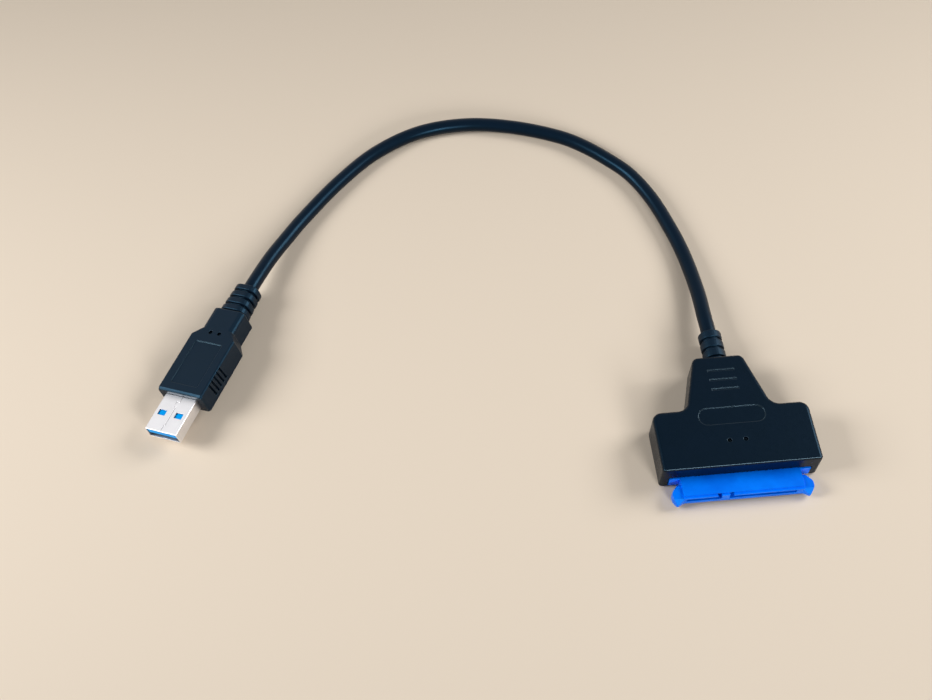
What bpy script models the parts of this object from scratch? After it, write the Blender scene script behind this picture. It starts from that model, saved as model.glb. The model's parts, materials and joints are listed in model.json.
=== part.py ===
"""USB to SATA adapter: a moulded T-shaped drive plug, a short round cord and a USB A plug.

Metres, +Z up. The origin is at the middle of the drive end's underside. The receptacle faces -Y,
the cord leaves towards +Y, and the whole adapter lies on the plane z = 0.
"""

import math

import bmesh
import bpy
from mathutils import Matrix, Vector

MM = 0.001

# Clearances
GAP = 0.3 * MM  # between a piece and the piece that holds it
FINE_GAP = 0.15 * MM  # between a small piece and its seat

# Housing at the drive end
HOUSING_WIDTH = 49.9 * MM
HOUSING_DEPTH = 20.5 * MM  # of the wide block, front to shoulder
HOUSING_LENGTH = 39.4 * MM  # of block and neck together
HOUSING_HEIGHT = 10.9 * MM
NECK_END_WIDTH = 16.1 * MM
NECK_ROOT_WIDTH = 27.1 * MM  # where the neck's sides would meet the shoulder
SHOULDER_RADIUS = 3.0 * MM
NECK_FILLET = 4.0 * MM
NECK_END_RADIUS = 2.2 * MM
FRONT_CORNER_RADIUS = 0.9 * MM
LEAST_RADIUS = 0.2 * MM  # of a corner drawn inwards
SIDE_EDGE_RADIUS = 1.1 * MM  # top edge round the sides and back
FRONT_EDGE_RADIUS = 0.4 * MM  # top edge over the mouth
BASE_EDGE_RADIUS = 0.8 * MM
WALL = 1.6 * MM
FLOOR = 0.9 * MM
ROOF = 1.6 * MM

# Marks in the housing's top face
MARK_DEPTH = 0.3 * MM
RIB_LENGTH = 8.6 * MM
RIB_WIDTH = 0.6 * MM
RIB_DISTANCES = (27.0 * MM, 30.5 * MM, 34.0 * MM)  # behind the front face
PANEL_WIDTH = 21.2 * MM
PANEL_FRONT = 14.5 * MM
PANEL_BACK = 20.4 * MM
PANEL_RADIUS = 2.8 * MM
PIN_HOLE_RADIUS = 0.7 * MM
PIN_HOLE_DEPTH = 1.1 * MM
PIN_HOLE_SPACING = 5.1 * MM
PIN_HOLE_DISTANCE = 8.7 * MM

# Receptacle
CONTACT_PITCH = 1.27 * MM
SIGNAL_CONTACTS = 7
POWER_CONTACTS = 15
SEGMENT_GAP = 6.35 * MM  # last signal contact to first power contact
CONTACT_OFFSET = -0.65 * MM  # of the row of contacts, to the left of the block's middle
NOSE_WIDTH = 37.8 * MM
NOSE_REACH = 6.9 * MM  # ahead of the housing
NOSE_TOP = 5.1 * MM
LIP_DEPTH = 0.8 * MM
LIP_DROP = 0.6 * MM
TAB_WIDTH = 44.4 * MM
TAB_PROUD = 0.3 * MM
TAB_DEPTH = 3.9 * MM
SLOT_LOW = 2.5 * MM
SLOT_HEIGHT = 1.3 * MM
SLOT_DEPTH = 5.6 * MM
SLOT_END_MARGIN = 1.25 * MM  # beyond an end contact
KEY_WIDTH = 1.2 * MM
KEY_MARGIN = 0.65 * MM  # from the last contact's edge of the slot to the key
KEY_TOP = 4.7 * MM
GUIDE_REACH = 8.0 * MM  # ahead of the housing
GUIDE_SPAN = 44.2 * MM
GUIDE_LOW = 1.3 * MM
GUIDE_TOP = 4.3 * MM
GUIDE_BEVEL = 0.3 * MM
GUIDE_RAMP_START = 6.5 * MM  # ahead of the housing
GUIDE_RAMP_DROP = 1.8 * MM  # at the guide's tip
CHANNEL_WIDTH = 0.95 * MM

# Receptacle contacts
STRIP_WIDTH = 0.6 * MM
STRIP_THICKNESS = 0.2 * MM
STRIP_TAIL = 2.4 * MM  # on the board, behind the receptacle
STRIP_BOW = 0.4 * MM
STRIP_START = 1.1 * MM  # behind the receptacle's front face
STRIP_BOW_START = 2.2 * MM
STRIP_BOW_END = 3.0 * MM
STRIP_REST = 0.9 * MM  # ahead of the slot's end

# Board and what stands on it
BOARD_WIDTH = 40.0 * MM
BOARD_DEPTH = 13.2 * MM
BOARD_THICKNESS = 1.2 * MM
BOARD_PARTS = (
    # name, width, depth, height, x, distance behind the board's front edge
    ("bridge_chip", 7.0, 7.0, 0.9, -4.0, 7.6, "chip"),
    ("flash_chip", 5.0, 4.0, 1.4, -12.5, 7.4, "chip"),
    ("voltage_regulator", 3.0, 1.6, 1.1, 9.0, 9.6, "chip"),
    ("power_inductor", 4.0, 4.0, 2.0, 14.0, 8.0, "ferrite"),
    ("crystal", 3.2, 2.5, 0.8, 4.2, 5.4, "steel"),
    ("input_capacitor", 2.0, 1.25, 1.1, 8.0, 5.4, "ceramic"),
    ("output_capacitor", 1.25, 2.0, 1.1, 18.0, 8.0, "ceramic"),
)
PART_EDGE = 0.15 * MM  # bevel round the top of each
POCKET_HEIGHT = 2.9 * MM  # over the board

# Cord and the wires inside it
CORD_RADIUS = 2.5 * MM
CORD_OFFSET = 0.6 * MM  # where it leaves the drive end, to the right of the middle
WIRE_RADIUS = 0.5 * MM
WIRE_CIRCLE = 1.4 * MM  # radius of the ring of wires
WIRE_BORE = 2.2 * MM
WIRE_LIFT = 0.4 * MM  # over its pad, just before it
WIRE_PAD_INSET = 1.6 * MM  # from the board's rear edge
WIRE_LEVEL_REACH = 2.0 * MM  # behind the board, where the wires come down to it
WIRE_FAN_REACH = 6.0 * MM  # behind the board, where the wires have fanned out
WIRES = (
    ("power_wire", "red"),
    ("ground_wire", "black_wire"),
    ("data_pair", "green"),
    ("fast_send_pair", "blue_wire"),
    ("fast_receive_pair", "yellow"),
)

# Strain relief at the drive end
RELIEF_RADIUS = 3.8 * MM
RELIEF_LENGTH = 11.4 * MM
RELIEF_BARE = 1.4 * MM  # between the housing and the first ring
RELIEF_CORE_RADIUS = 3.1 * MM
RELIEF_RINGS = 3
RELIEF_GROOVE = 0.85 * MM
RELIEF_EDGE = 0.25 * MM  # chamfer on each ring
RELIEF_ROOT_RADIUS = 3.5 * MM
RELIEF_ROOT_LENGTH = 2.4 * MM

# Plug: distances are from the shell's tip, heights from its middle
SHELL_WIDTH = 12.0 * MM
SHELL_HEIGHT = 4.5 * MM
SHELL_WALL = 0.3 * MM
SHELL_LENGTH = 24.0 * MM
SHELL_EXPOSED = 13.6 * MM
SHELL_CORNER = 0.4 * MM
SHELL_INNER_CORNER = 0.2 * MM
SHELL_EDGE = 0.1 * MM  # chamfer round the mouth
WINDOW_LENGTH = 2.0 * MM
WINDOW_WIDTH = 2.8 * MM
WINDOW_DISTANCE = 6.7 * MM
WINDOW_SPACING = 6.4 * MM
SEAM_WIDTH = 0.1 * MM
SEAM_DEPTH = 0.12 * MM
SEAM_RUNS = (
    # end, x of each straight run of the seam
    (2.5, 0.0),
    (9.6, 0.45),
    (11.5, -0.35),
    (25.0, 0.85),
)
TONGUE_INSET = 0.25 * MM
TONGUE_THICKNESS = 2.0 * MM
TONGUE_LENGTH = 17.4 * MM
TONGUE_BLOCK_START = 9.8 * MM
TONGUE_TUNNEL = 0.75 * MM
TONGUE_CHEEK = 0.45 * MM
PLUG_CONTACTS = (
    # name, x, distance of its front end, width, bow
    ("plug_contact_1", -3.5, 1.0, 1.0, 0.0),
    ("plug_contact_2", -1.0, 1.9, 1.0, 0.0),
    ("plug_contact_3", 1.0, 1.9, 1.0, 0.0),
    ("plug_contact_4", 3.5, 1.0, 1.0, 0.0),
    ("fast_contact_1", -4.6, 8.2, 0.6, 0.5),
    ("fast_contact_2", -2.25, 8.2, 0.6, 0.5),
    ("fast_contact_3", 0.0, 8.2, 0.6, 0.5),
    ("fast_contact_4", 2.25, 8.2, 0.6, 0.5),
    ("fast_contact_5", 4.6, 8.2, 0.6, 0.5),
)
PLUG_CONTACT_END = 19.6 * MM

# Plug grip
GRIP_WIDTH = 17.0 * MM
GRIP_HEIGHT = 8.5 * MM
GRIP_LENGTH = 22.8 * MM  # of the wide part
GRIP_LIP = 0.9 * MM
GRIP_LIP_INSET = 0.5 * MM  # above and below
GRIP_LIP_SIDE_INSET = 0.15 * MM
GRIP_TAPER = 3.4 * MM
GRIP_NECK_LENGTH = 8.6 * MM
GRIP_NECK_WIDTH = 12.0 * MM
GRIP_CORNER = 0.7 * MM
GRIP_NECK_CORNER = 1.7 * MM  # the neck's two upper edges
GRIP_END_EDGE = 0.5 * MM
GRIP_PANEL_WIDTH = 10.4 * MM
GRIP_PANEL_START = 3.4 * MM  # behind the grip's front
GRIP_PANEL_LENGTH = 17.0 * MM
GRIP_PANEL_RADIUS = 0.8 * MM
GRIP_PIN_DISTANCE = 24.5 * MM
GRIP_PIN_SPACING = 3.4 * MM
FINGER_GROOVES = 5
FINGER_GROOVE_WIDTH = 0.8 * MM
FINGER_GROOVE_DEPTH = 0.8 * MM
FINGER_GROOVE_PITCH = 1.7 * MM
FINGER_GROOVE_START = 5.6 * MM
FINGER_GROOVE_TOP = 0.45 * MM  # below the grip's upper side
FINGER_GROOVE_DROP = 6.4 * MM  # of their lower ends, below the same side
FINGER_GROOVE_SLANT = math.radians(6)

# Plug core and strain relief
CORE_WIDTH = 8.6 * MM
CORE_HEIGHT = 5.4 * MM
CORE_CHANNEL_WIDTH = 6.4 * MM
CORE_CHANNEL_HEIGHT = 4.2 * MM
PLUG_RELIEF_WIDTH = 10.1 * MM
PLUG_RELIEF_HEIGHT = 8.0 * MM
PLUG_RELIEF_END_WIDTH = 9.0 * MM
PLUG_RELIEF_END_HEIGHT = 7.4 * MM
PLUG_RELIEF_ROUNDNESS = 0.42  # corner radius, as a share of the height
PLUG_RELIEF_RINGS = 4
PLUG_RELIEF_GROOVE = 0.8 * MM
PLUG_RELIEF_LENGTH = 11.1 * MM
PLUG_RELIEF_CORE_INSET = 1.0 * MM
PLUG_ROOT_WIDTH = 6.6 * MM
PLUG_ROOT_HEIGHT = 5.6 * MM
PLUG_ROOT_LENGTH = 3.4 * MM
PLUG_PAD_HEIGHT = -0.3 * MM  # of the wires' ends, from the plug's middle
PLUG_PAD_REACH = 2.0 * MM  # from the core's front to where the wires leave their row
PLUG_FAN_REACH = 4.0 * MM  # ahead of the core's end, where the wires have come together

# Where the plug lies, at the shell's tip
PLUG_TIP = (-178.1 * MM, 8.0 * MM)
PLUG_YAW = math.radians(-26.6)
PLUG_ROLL = math.radians(-13.3)  # it leans on its lower left edge

# The cord's route between the two strain reliefs, in millimetres
CORD_ROUTE = (
    (0.5, 37.0, 5.3),
    (0.7, 46.2, 4.4),
    (0.3, 56.4, 3.3),
    (-0.8, 66.6, 2.7),
    (-2.7, 76.0, 2.55),
    (-7.3, 91.6, 2.55),
    (-13.2, 103.5, 2.55),
    (-19.9, 111.3, 2.55),
    (-27.8, 118.6, 2.55),
    (-35.5, 123.8, 2.55),
    (-52.5, 130.5, 2.55),
    (-70.5, 133.6, 2.55),
    (-88.4, 131.4, 2.55),
    (-104.9, 123.0, 2.55),
    (-118.6, 110.6, 2.55),
    (-133.1, 93.2, 2.8),
    (-139.0, 84.4, 3.5),
    (-144.3, 75.6, 4.6),
)
CORD_STEP = 4.2 * MM

# Values that follow from the sizes above
CABLE_HEIGHT = HOUSING_HEIGHT / 2
TOTAL_LENGTH = GUIDE_REACH + HOUSING_LENGTH + RELIEF_LENGTH
FRONT = -TOTAL_LENGTH / 2 + GUIDE_REACH
SLOT_BACK = FRONT - NOSE_REACH + SLOT_DEPTH
NECK_END = FRONT + HOUSING_LENGTH
RELIEF_END = NECK_END + RELIEF_LENGTH
CEILING = HOUSING_HEIGHT - ROOF
NOSE_LOW = FLOOR + GAP
SIGNAL_SPAN = CONTACT_PITCH * (SIGNAL_CONTACTS - 1)
POWER_SPAN = CONTACT_PITCH * (POWER_CONTACTS - 1)
CONTACT_SPAN = SIGNAL_SPAN + SEGMENT_GAP + POWER_SPAN
FIRST_SIGNAL = CONTACT_OFFSET - CONTACT_SPAN / 2
FIRST_POWER = FIRST_SIGNAL + SIGNAL_SPAN + SEGMENT_GAP
STRIP_HEIGHT = SLOT_LOW + GAP + STRIP_THICKNESS / 2
BOARD_TOP = STRIP_HEIGHT - STRIP_THICKNESS / 2 - GAP
BOARD_LOW = BOARD_TOP - BOARD_THICKNESS
BOARD_FRONT = FRONT + TAB_DEPTH + GAP
BOARD_BACK = BOARD_FRONT + BOARD_DEPTH
RELIEF_ROOT_BACK = NECK_END - WALL - GAP
GRIP_END = SHELL_EXPOSED + GRIP_LENGTH + GRIP_TAPER + GRIP_NECK_LENGTH
PLUG_RELIEF_END = GRIP_END + GAP + PLUG_RELIEF_LENGTH
CORE_START = SHELL_LENGTH + GAP
CORE_END = GRIP_END - PLUG_ROOT_LENGTH - 2 * GAP
PLUG_LEAN = (GRIP_WIDTH / 2 - GRIP_CORNER) * abs(math.sin(PLUG_ROLL))
PLUG_HEIGHT = PLUG_LEAN + (GRIP_HEIGHT / 2 - GRIP_CORNER) * math.cos(PLUG_ROLL) + GRIP_CORNER


def clear_scene():
    for old in list(bpy.data.objects):
        bpy.data.objects.remove(old, do_unlink=True)


def make_material(name, colour, roughness, metallic=0.0):
    material = bpy.data.materials.new(name)
    material.use_nodes = True
    shader = material.node_tree.nodes["Principled BSDF"]
    shader.inputs["Base Color"].default_value = (*colour, 1.0)
    shader.inputs["Roughness"].default_value = roughness
    shader.inputs["Metallic"].default_value = metallic
    return material


def add_object(name, mesh, material, parent=None):
    obj = bpy.data.objects.new(name, mesh)
    bpy.context.scene.collection.objects.link(obj)
    if material:
        mesh.materials.append(material)
    obj.parent = parent
    return obj


def finish_mesh(name, bm, smooth_angle=None):
    """The mesh of a bmesh, with its faces turned outwards."""
    bmesh.ops.recalc_face_normals(bm, faces=bm.faces)
    mesh = bpy.data.meshes.new(name)
    bm.to_mesh(mesh)
    bm.free()
    if smooth_angle is not None:
        mesh.shade_smooth()
        mesh.set_sharp_from_angle(angle=math.radians(smooth_angle))
    return mesh


def lofted(rings, closed=False):
    """A solid through rings of equally many points, capped at both ends or closed on itself."""
    bm = bmesh.new()
    loops = [[bm.verts.new(point) for point in ring] for ring in rings]
    count = len(rings[0])
    pairs = list(zip(loops, loops[1:] + loops[:1])) if closed else list(zip(loops, loops[1:]))
    for first, second in pairs:
        for i in range(count):
            j = (i + 1) % count
            bm.faces.new((first[i], first[j], second[j], second[i]))
    if not closed:
        bm.faces.new(loops[0])
        bm.faces.new(loops[-1])
    return bm


def box_mesh(name, low, high):
    bm = bmesh.new()
    add_box(bm, low, high)
    return finish_mesh(name, bm)


def add_box(bm, low, high):
    low, high = Vector(low), Vector(high)
    place = Matrix.Translation((low + high) / 2) @ Matrix.Diagonal((*(high - low), 1.0))
    return bmesh.ops.create_cube(bm, size=1.0, matrix=place)["verts"]


def prism(outline, low, high):
    """A bmesh of an outline in x and y, from one height to another."""
    return lofted([[(x, y, z) for x, y in outline] for z in (low, high)])


def filleted(corners):
    """An outline through (x, y, radius, steps) corners, each rounded with its own radius or left sharp."""
    points = []
    for i, (x, y, radius, steps) in enumerate(corners):
        here = Vector((x, y))
        if not radius:
            points.append((x, y))
            continue
        back = (Vector(corners[i - 1][:2]) - here).normalized()
        ahead = (Vector(corners[(i + 1) % len(corners)][:2]) - here).normalized()
        half = back.angle(ahead) / 2
        middle = (back + ahead).normalized()
        centre = here + middle * (radius / math.sin(half))
        start = here + back * (radius / math.tan(half)) - centre
        end = here + ahead * (radius / math.tan(half)) - centre
        turn = start.angle_signed(end)
        for k in range(steps + 1):
            arm = start.copy()
            arm.rotate(Matrix.Rotation(-turn * k / steps, 2))
            points.append(tuple(centre + arm))
    return points


def cut(obj, cutter_mesh, name, parent=None):
    """Takes a cutter away from an object."""
    return combine(obj, cutter_mesh, name, "DIFFERENCE", parent)


def combine(obj, other_mesh, name, operation, parent=None):
    helper = add_object(name, other_mesh, None, parent)
    helper.hide_render = True
    helper.display_type = "WIRE"
    modifier = obj.modifiers.new(name, "BOOLEAN")
    modifier.operation = operation
    modifier.object = helper
    modifier.solver = "EXACT"
    return helper


def add_tube(name, points, radius, material, sides=3, parent=None):
    """A round solid along a polyline, with flat ends."""
    curve = bpy.data.curves.new(name, "CURVE")
    curve.dimensions = "3D"
    curve.bevel_depth = radius
    curve.bevel_resolution = sides
    curve.use_fill_caps = True
    spline = curve.splines.new("POLY")
    spline.points.add(len(points) - 1)
    for slot, point in zip(spline.points, points):
        slot.co = (*point, 1.0)
    curve.materials.append(material)
    obj = bpy.data.objects.new(name, curve)
    bpy.context.scene.collection.objects.link(obj)
    obj.parent = parent
    return obj


def smooth_path(points, step):
    """Evenly spaced points on the smooth curve through the given ones."""
    points = [Vector(point) for point in points]
    ends = [2 * points[0] - points[1], *points, 2 * points[-1] - points[-2]]
    dense = []
    for before, start, end, after in zip(ends, ends[1:], ends[2:], ends[3:]):
        knots = [0.0]
        for first, second in ((before, start), (start, end), (end, after)):
            knots.append(knots[-1] + math.sqrt((second - first).length))
        for k in range(24):
            t = knots[1] + (knots[2] - knots[1]) * k / 24
            dense.append(between_knots((before, start, end, after), knots, t))
    dense.append(points[-1])
    lengths = [0.0]
    for first, second in zip(dense, dense[1:]):
        lengths.append(lengths[-1] + (second - first).length)
    count = max(2, round(lengths[-1] / step))
    path = []
    place = 0
    for k in range(count + 1):
        target = lengths[-1] * k / count
        while place < len(lengths) - 2 and lengths[place + 1] < target:
            place += 1
        share = (target - lengths[place]) / (lengths[place + 1] - lengths[place])
        path.append(dense[place].lerp(dense[place + 1], min(max(share, 0.0), 1.0)))
    return path


def between_knots(controls, knots, t):
    """The point at t on the centripetal curve through four controls."""
    for first, width in ((0, 1), (0, 2), (1, 1)):
        spans = zip(controls, controls[1:], knots[first:], knots[first + width:])
        controls = [start.lerp(end, (t - low) / (high - low)) for start, end, low, high in spans]
    return controls[0]


def add_strip(name, path, width, x, material, parent=None):
    """A flat metal strip of the given width, bent along a path of (y, z) points."""
    half = STRIP_THICKNESS / 2
    normals = []
    for i in range(len(path)):
        ahead = Vector(path[min(i + 1, len(path) - 1)]) - Vector(path[max(i - 1, 0)])
        ahead.normalize()
        normals.append(Vector((-ahead.y, ahead.x)))
    rings = []
    for point, normal in zip(path, normals):
        upper = Vector(point) + normal * half
        lower = Vector(point) - normal * half
        rings.append([
            (x - width / 2, upper.x, upper.y),
            (x + width / 2, upper.x, upper.y),
            (x + width / 2, lower.x, lower.y),
            (x - width / 2, lower.x, lower.y),
        ])
    return add_object(name, finish_mesh(name, lofted(rings)), material, parent)


def housing_outline(inset, front_inset):
    """The housing's plan, drawn in by the given amounts from its sides and its front."""
    half = HOUSING_WIDTH / 2 - inset
    slope = (NECK_ROOT_WIDTH - NECK_END_WIDTH) / 2 / (HOUSING_LENGTH - HOUSING_DEPTH)
    neck_inset = inset * math.hypot(1.0, slope)
    shoulder = HOUSING_DEPTH - inset
    end = HOUSING_LENGTH - inset
    root_half = NECK_END_WIDTH / 2 + slope * (HOUSING_LENGTH - shoulder) - neck_inset
    end_half = NECK_END_WIDTH / 2 + slope * inset - neck_inset
    front_radius = max(FRONT_CORNER_RADIUS - inset, LEAST_RADIUS)
    shoulder_radius = max(SHOULDER_RADIUS - inset, LEAST_RADIUS)
    end_radius = max(NECK_END_RADIUS - inset, LEAST_RADIUS)
    corners = []
    for side in (1, -1):
        half_plan = [
            (side * half, FRONT + front_inset, front_radius, 3),
            (side * half, FRONT + shoulder, shoulder_radius, 8),
            (side * root_half, FRONT + shoulder, NECK_FILLET + inset, 7),
            (side * end_half, FRONT + end, end_radius, 6),
        ]
        corners += half_plan[::side]
    return filleted(corners)


def add_housing(material):
    steps = 4
    rings = []
    for k in range(steps + 1):
        angle = math.pi / 2 * k / steps
        inset = BASE_EDGE_RADIUS * (1 - math.sin(angle))
        height = BASE_EDGE_RADIUS * (1 - math.cos(angle))
        rings.append([(x, y, height) for x, y in housing_outline(inset, inset)])
    for k in range(steps + 1):
        angle = math.pi / 2 * k / steps
        inset = 1 - math.cos(angle)
        height = HOUSING_HEIGHT - SIDE_EDGE_RADIUS * (1 - math.sin(angle))
        outline = housing_outline(SIDE_EDGE_RADIUS * inset, FRONT_EDGE_RADIUS * inset)
        rings.append([(x, y, height) for x, y in outline])
    housing = add_object("sata_housing", finish_mesh("sata_housing", lofted(rings), 35), material)

    cavity = prism(housing_outline(WALL, WALL), FLOOR, CEILING)
    cut(housing, finish_mesh("housing_cavity", cavity), "housing_cavity")
    mouth_half = TAB_WIDTH / 2 + GAP
    low = (-mouth_half, FRONT - WALL, FLOOR)
    high = (mouth_half, FRONT + 2 * WALL, NOSE_TOP + GAP)
    cut(housing, box_mesh("housing_mouth", low, high), "housing_mouth")
    hole = turned(((RELIEF_CORE_RADIUS + GAP, -2 * WALL), (RELIEF_CORE_RADIUS + GAP, WALL)))
    bmesh.ops.translate(hole, verts=hole.verts, vec=(CORD_OFFSET, NECK_END, CABLE_HEIGHT))
    cut(housing, finish_mesh("housing_cord_hole", hole), "housing_cord_hole")
    cut(housing, housing_marks(), "housing_marks")


def housing_marks():
    """Three short grooves, a plain sunk panel and two pin holes, all in the top face."""
    above = HOUSING_HEIGHT + MARK_DEPTH
    low = HOUSING_HEIGHT - MARK_DEPTH
    bm = bmesh.new()
    for distance in RIB_DISTANCES:
        y = FRONT + distance
        half, wide = RIB_LENGTH / 2, RIB_WIDTH / 2
        add_box(bm, (-half, y - wide, low), (half, y + wide, above))
    panel = rounded_box(PANEL_WIDTH / 2, FRONT + PANEL_FRONT, FRONT + PANEL_BACK, PANEL_RADIUS)
    add_mesh(bm, prism(panel, low, above))
    for side in (-1, 1):
        hole = turned_pin(PIN_HOLE_RADIUS, HOUSING_HEIGHT - PIN_HOLE_DEPTH, above)
        place = (side * PIN_HOLE_SPACING / 2, FRONT + PIN_HOLE_DISTANCE, 0)
        bmesh.ops.translate(hole, verts=hole.verts, vec=place)
        add_mesh(bm, hole)
    return finish_mesh("housing_marks", bm)


def rounded_box(half, front, back, radius):
    """The plan of a box with rounded corners, centred in x."""
    corners = [(half, front), (half, back), (-half, back), (-half, front)]
    return filleted([(x, y, radius, 5) for x, y in corners])


def add_mesh(bm, other):
    """Puts a copy of another bmesh into this one, and frees the other."""
    mesh = bpy.data.meshes.new("joined")
    other.to_mesh(mesh)
    other.free()
    bm.from_mesh(mesh)
    bpy.data.meshes.remove(mesh)


def turned(profile, segments=32, bore=0.0):
    """A solid turned about the Y axis from (radius, y) points, with a bore if one is given."""
    outline = list(profile)
    if bore:
        outline += [(bore, profile[-1][1]), (bore, profile[0][1])]
    rings = []
    for radius, y in outline:
        angles = [2 * math.pi * k / segments for k in range(segments)]
        rings.append([(radius * math.cos(a), y, radius * math.sin(a)) for a in angles])
    return lofted(rings, closed=bool(bore))


def turned_pin(radius, low, high, segments=16):
    """An upright round pin on the Z axis."""
    angles = [2 * math.pi * k / segments for k in range(segments)]
    return prism([(radius * math.cos(a), radius * math.sin(a)) for a in angles], low, high)


def contact_places():
    """Name and x of each contact in the receptacle."""
    places = [
        (f"signal_contact_{i + 1}", FIRST_SIGNAL + i * CONTACT_PITCH) for i in range(SIGNAL_CONTACTS)
    ]
    places += [
        (f"power_contact_{i + 1:02d}", FIRST_POWER + i * CONTACT_PITCH) for i in range(POWER_CONTACTS)
    ]
    return places


def guide_outline(side):
    """The plan of one end guide: a leaf that bows outwards and ends in a blunt point."""
    inner = NOSE_WIDTH / 2
    corners = [
        (inner - MM, -1.9 * MM, 0, 0),
        (inner + 1.2 * MM, -1.9 * MM, 0.6 * MM, 4),
        (inner + 3.3 * MM, -4.2 * MM, 2.0 * MM, 5),
        (inner + 3.2 * MM, -6.2 * MM, 2.4 * MM, 5),
        (inner + 1.9 * MM, -8.2 * MM, 0.7 * MM, 5),
        (inner + 0.3 * MM, -7.2 * MM, 0, 0),
        (inner - MM, -6.6 * MM, 0, 0),
    ]
    points = filleted(corners)
    reach = GUIDE_REACH / -min(y for _, y in points)
    bow = (GUIDE_SPAN / 2 - inner) / (max(x for x, _ in points) - inner)
    plan = [(side * (inner + (x - inner) * bow), FRONT + y * reach) for x, y in points]
    return plan[::side]


def ramp_tip(bm):
    """Slopes the top of a guide down towards its tip."""
    start = Vector((0, FRONT - GUIDE_RAMP_START, GUIDE_TOP))
    along = Vector((0, FRONT - GUIDE_REACH, GUIDE_TOP - GUIDE_RAMP_DROP)) - start
    outwards = Vector((0, along.z, -along.y)).normalized()
    parts = [*bm.verts, *bm.edges, *bm.faces]
    found = bmesh.ops.bisect_plane(bm, geom=parts, plane_co=start, plane_no=outwards, clear_outer=True)
    rim = [item for item in found["geom_cut"] if isinstance(item, bmesh.types.BMEdge)]
    bmesh.ops.contextual_create(bm, geom=rim)


def bevel_upper_edges(bm, height, width):
    """Bevels the edges that lie at the given height."""
    edges = [e for e in bm.edges if all(abs(v.co.z - height) < 0.01 * MM for v in e.verts)]
    bmesh.ops.bevel(bm, geom=edges, offset=width, segments=2, affect="EDGES", profile=0.5)


def receptacle_outline(half, nose_front):
    """The receptacle's plan: the nose, with a tab on each side where it enters the housing."""
    tab_half = TAB_WIDTH / 2
    tab_front = FRONT - TAB_PROUD
    right = [(half, nose_front), (half, tab_front), (tab_half, tab_front), (tab_half, FRONT + TAB_DEPTH)]
    return right + [(-x, y) for x, y in right[::-1]]


def add_receptacle(material):
    half = NOSE_WIDTH / 2
    nose_front = FRONT - NOSE_REACH
    plan = receptacle_outline(half, nose_front)
    mesh = finish_mesh("sata_connector_body", prism(plan, NOSE_LOW, NOSE_TOP))
    body = add_object("sata_connector_body", mesh, material)
    for side, name in ((-1, "guide_left"), (1, "guide_right")):
        guide = prism(guide_outline(side), GUIDE_LOW, GUIDE_TOP)
        bevel_upper_edges(guide, GUIDE_TOP, GUIDE_BEVEL)
        ramp_tip(guide)
        combine(body, finish_mesh(name, guide), name, "UNION")
    low = (-half - MM, nose_front - MM, NOSE_TOP - LIP_DROP)
    high = (half + MM, nose_front + LIP_DEPTH, NOSE_TOP + MM)
    cut(body, box_mesh("receptacle_lip", low, high), "receptacle_lip")
    cut(body, receptacle_slots(), "receptacle_slots")
    cut(body, receptacle_channels(), "receptacle_channels")


def receptacle_slots():
    """The two slots, each with its key at the end that faces the other slot."""
    bm = bmesh.new()
    for first, last, key_side in (
        (FIRST_SIGNAL, FIRST_SIGNAL + SIGNAL_SPAN, 1),
        (FIRST_POWER, FIRST_POWER + POWER_SPAN, -1),
    ):
        key_edge = SLOT_END_MARGIN + KEY_MARGIN
        left = first - (key_edge if key_side < 0 else SLOT_END_MARGIN)
        right = last + (key_edge if key_side > 0 else SLOT_END_MARGIN)
        inner = right - KEY_WIDTH if key_side > 0 else left + KEY_WIDTH
        top = SLOT_LOW + SLOT_HEIGHT
        profile = [(left, SLOT_LOW), (right, SLOT_LOW)]
        if key_side > 0:
            profile += [(right, KEY_TOP), (inner, KEY_TOP), (inner, top), (left, top)]
        else:
            profile += [(right, top), (inner, top), (inner, KEY_TOP), (left, KEY_TOP)]
        ys = (FRONT - NOSE_REACH - MM, SLOT_BACK)
        add_mesh(bm, lofted([[(x, y, z) for x, z in profile] for y in ys]))
    return finish_mesh("receptacle_slots", bm)


def receptacle_channels():
    """A narrow way through the rear wall for each contact."""
    bm = bmesh.new()
    for _, x in contact_places():
        half = CHANNEL_WIDTH / 2
        top = SLOT_LOW + STRIP_THICKNESS + 2 * GAP
        add_box(bm, (x - half, SLOT_BACK - GAP, SLOT_LOW), (x + half, FRONT + TAB_DEPTH + MM, top))
    return finish_mesh("receptacle_channels", bm)


def add_receptacle_contacts(material):
    nose_front = FRONT - NOSE_REACH
    tail = FRONT + TAB_DEPTH + STRIP_TAIL
    path = [
        (nose_front + STRIP_START, STRIP_HEIGHT),
        (nose_front + STRIP_BOW_START, STRIP_HEIGHT + STRIP_BOW),
        (nose_front + STRIP_BOW_END, STRIP_HEIGHT + STRIP_BOW),
        (SLOT_BACK - STRIP_REST, STRIP_HEIGHT),
        (tail, STRIP_HEIGHT),
    ]
    for name, x in contact_places():
        add_strip(name, path, STRIP_WIDTH, x, material)


def add_board(materials):
    half = BOARD_WIDTH / 2
    low = (-half, BOARD_FRONT, BOARD_LOW)
    high = (half, BOARD_BACK, BOARD_TOP)
    add_object("circuit_board", box_mesh("circuit_board", low, high), materials["board"])
    seat = BOARD_TOP + FINE_GAP
    for name, width, depth, height, x, distance, material in BOARD_PARTS:
        y = BOARD_FRONT + distance * MM
        half_size = Vector((width, depth, 0)) * MM / 2
        low = Vector((x * MM, y, seat)) - half_size
        high = Vector((x * MM, y, seat + height * MM)) + half_size
        bm = bmesh.new()
        add_box(bm, low, high)
        bevel_upper_edges(bm, high.z, PART_EDGE)
        add_object(name, finish_mesh(name, bm), materials[material])


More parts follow.
